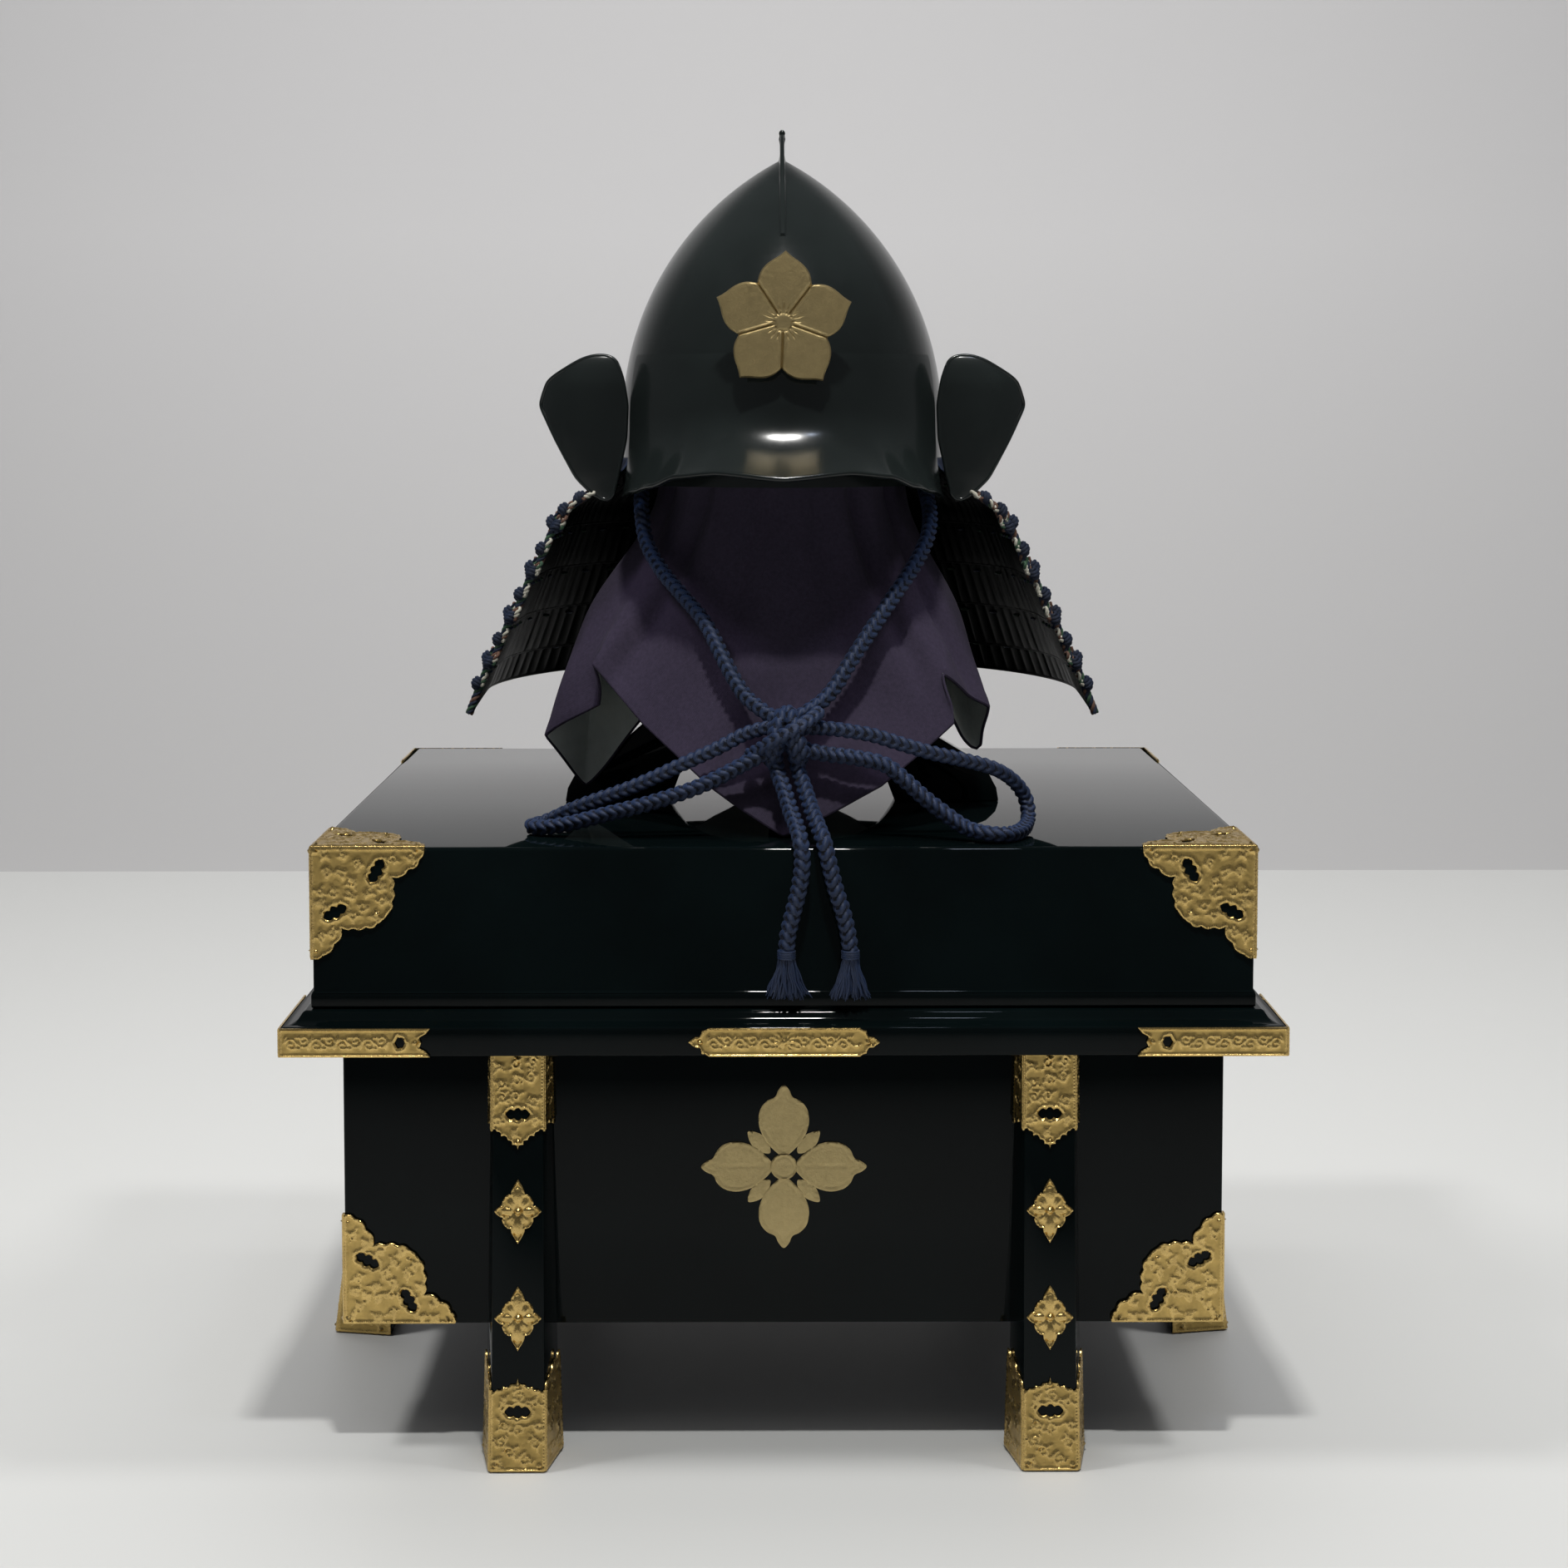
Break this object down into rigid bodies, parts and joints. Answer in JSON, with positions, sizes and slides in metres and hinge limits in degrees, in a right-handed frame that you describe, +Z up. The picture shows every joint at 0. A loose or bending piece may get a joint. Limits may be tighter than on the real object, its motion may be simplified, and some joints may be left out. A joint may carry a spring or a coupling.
{
  "type": "kabuto samurai helmet on a cloth-covered stand and a lacquered armour chest",
  "caption": "Black peach-shaped samurai helmet with gilt bellflower crest, laced neck guard and tied navy cord, shown over a purple cloth on a lacquered six-legged chest.",
  "frame": {"origin": "on the floor under the middle of the chest", "axes": "+Z up, -Y towards the helmet's front, +X to the viewer's right"},
  "size_m": [0.6214, 0.5164, 0.8263],
  "materials": {
    "helmet_lacquer": "gloss black lacquer",
    "lame_lacquer": "satin black lacquer",
    "gold_leaf": "matt gold",
    "cord_silk": "navy round braid",
    "purple_cloth": "matt weave",
    "wood_lacquer": "mirror black lacquer",
    "gilt_brass": "gilt, chased relief"
  },
  "bodies": {
    "root": {"helmet_bowl": "helmet_lacquer", "bowl_comb": "helmet_lacquer", "visor": "helmet_lacquer", "wing_left": "helmet_lacquer", "wing_right": "helmet_lacquer", "neck_lame_1": "lame_lacquer", "neck_lame_2": "lame_lacquer", "neck_lame_3": "lame_lacquer", "neck_lame_4": "lame_lacquer", "neck_lame_5": "lame_lacquer", "crest": "gold_leaf", "front_ornament": "gold_leaf", "chin_cord_loop": "cord_silk", "bow_loop_left": "cord_silk", "bow_loop_right": "cord_silk", "cord_tail_left": "cord_silk", "cord_tail_right": "cord_silk", "bow_knot": "cord_silk", "tassel_left": "cord_silk", "tassel_right": "cord_silk", "cloth": "purple_cloth", "stand": "wood_lacquer", "chest_box": "wood_lacquer", "chest_ledge": "wood_lacquer", "chest_lid": "wood_lacquer", "leg_front_left": "wood_lacquer", "leg_front_right": "wood_lacquer", "leg_back_left": "wood_lacquer", "leg_back_right": "wood_lacquer", "leg_side_left": "wood_lacquer", "leg_side_right": "wood_lacquer", "shoe_front_left": "gilt_brass", "shoe_front_right": "gilt_brass", "shoe_back_left": "gilt_brass", "shoe_back_right": "gilt_brass", "shoe_side_left": "gilt_brass", "shoe_side_right": "gilt_brass", "leg_cap_front_left": "gilt_brass", "leg_cap_front_right": "gilt_brass", "leg_cap_back_left": "gilt_brass", "leg_cap_back_right": "gilt_brass", "leg_cap_side_left": "gilt_brass", "leg_cap_side_right": "gilt_brass", "lid_corner_front_left": "gilt_brass", "lid_corner_front_right": "gilt_brass", "lid_corner_back_left": "gilt_brass", "lid_corner_back_right": "gilt_brass", "ledge_corner_front_left": "gilt_brass", "ledge_corner_front_right": "gilt_brass", "ledge_corner_back_left": "gilt_brass", "ledge_corner_back_right": "gilt_brass", "box_corner_front_left": "gilt_brass", "box_corner_front_right": "gilt_brass", "box_corner_back_left": "gilt_brass", "box_corner_back_right": "gilt_brass", "ledge_plate_front": "gilt_brass", "ledge_plate_back": "gilt_brass"}
  },
  "joints": []
}
